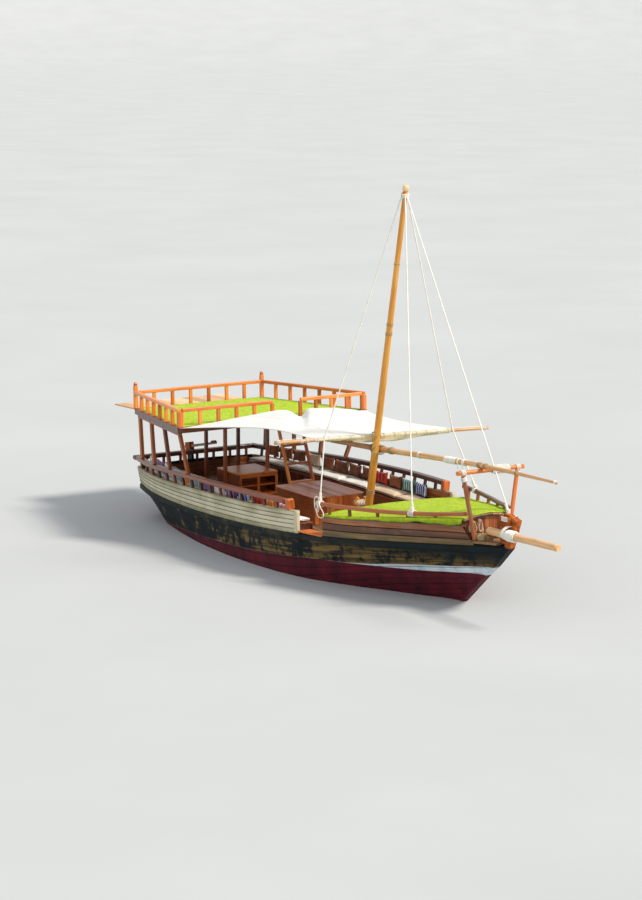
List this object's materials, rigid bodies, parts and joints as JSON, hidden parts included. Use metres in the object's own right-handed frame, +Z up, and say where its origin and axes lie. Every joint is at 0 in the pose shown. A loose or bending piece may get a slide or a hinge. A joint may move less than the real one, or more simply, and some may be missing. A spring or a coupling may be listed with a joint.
{
  "type": "dhow sailing boat",
  "caption": "Wooden dhow afloat with raked mast, long yard on a bow gallows, raised aft deck on posts, cloth awning, benches, rails, rudder and propeller.",
  "frame": {"origin": "on the centreline at the waterline, at the middle of the hull's length", "axes": "+X forward to the bow, +Y to port, +Z up"},
  "size_m": [16.1559, 5.0962, 9.3932],
  "materials": {
    "hull_paint": "satin near-black paint",
    "bottom_paint": "matte maroon paint",
    "cream_paint": "worn cream paint on planks",
    "varnished_wood": "varnished red-brown hardwood",
    "dark_wood": "oiled dark hardwood",
    "orange_wood": "glossy orange varnish",
    "pale_wood": "bare pale wood",
    "honey_wood": "satin honey varnish",
    "deck_boards": "bare deck boards",
    "turf": "short artificial turf",
    "awning_cloth": "woven white cloth",
    "cushion_cloth": "woven cover",
    "rope": "laid rope",
    "iron": "painted casting",
    "bronze": "dull bronze"
  },
  "bodies": {
    "boat": {"hull": "hull_paint", "engine": "iron", "keel": "bottom_paint", "stem": "varnished_wood", "sternpost": "bottom_paint", "stern_board": "dark_wood", "bulwark_aft_starboard": "cream_paint", "bulwark_aft_port": "cream_paint", "bulwark_fore_starboard": "varnished_wood", "bulwark_fore_port": "varnished_wood", "wale_starboard": "hull_paint", "wale_port": "hull_paint", "main_deck": "deck_boards", "foredeck": "deck_boards", "foredeck_turf": "turf", "foredeck_bulkhead": "varnished_wood", "bow_bulkhead": "varnished_wood", "beak_deck": "deck_boards", "bowsprit": "pale_wood", "balustrade_starboard": "dark_wood", "balustrade_port": "dark_wood", "balustrade_stern": "dark_wood", "rail_fore_starboard": "varnished_wood", "rail_fore_port": "varnished_wood", "upper_deck": "varnished_wood", "upper_turf": "turf", "aft_shelf": "pale_wood", "upper_rail": "orange_wood", "upper_rail_front_starboard": "orange_wood", "upper_rail_front_port": "orange_wood", "posts_starboard": "varnished_wood", "posts_port": "varnished_wood", "inner_posts_aft": "varnished_wood", "inner_posts_fore": "varnished_wood", "ladder": "orange_wood", "engine_casing": "varnished_wood", "casing_lid": "pale_wood", "counter": "orange_wood", "bench_starboard": "varnished_wood", "bench_port": "varnished_wood", "cushions_starboard": "cushion_cloth", "cushions_port": "cushion_cloth", "mast": "honey_wood", "masthead_band": "rope", "masthead_truck": "orange_wood", "mast_bitts": "honey_wood", "gallows": "varnished_wood", "shroud_aft_starboard": "rope", "shroud_fore_starboard": "rope", "shroud_port": "rope", "forestay": "rope", "awning_pole": "pale_wood", "awning": "awning_cloth"},
    "rudder": {"rudder": "bottom_paint", "tiller": "orange_wood"},
    "propeller": {"propeller": "bronze"},
    "yard": {"yard": "pale_wood"}
  },
  "joints": [
    {"name": "rudder_hinge", "type": "hinge", "parent": "boat", "child": "rudder", "pos_m": [-5.215, 0, 0], "axis": [-0.2055, 0, 0.9787], "range_deg": [-35, 35]},
    {"name": "propeller_shaft", "type": "hinge", "parent": "boat", "child": "propeller", "pos_m": [-5.11635, 0, -0.46975], "axis": [0.9787, 0, 0.2055], "continuous": true},
    {"name": "yard_tilt", "type": "hinge", "parent": "boat", "child": "yard", "pos_m": [2.63127, 0.14398, 2.6], "axis": [0, -1, 0], "range_deg": [0, 8]}
  ]
}
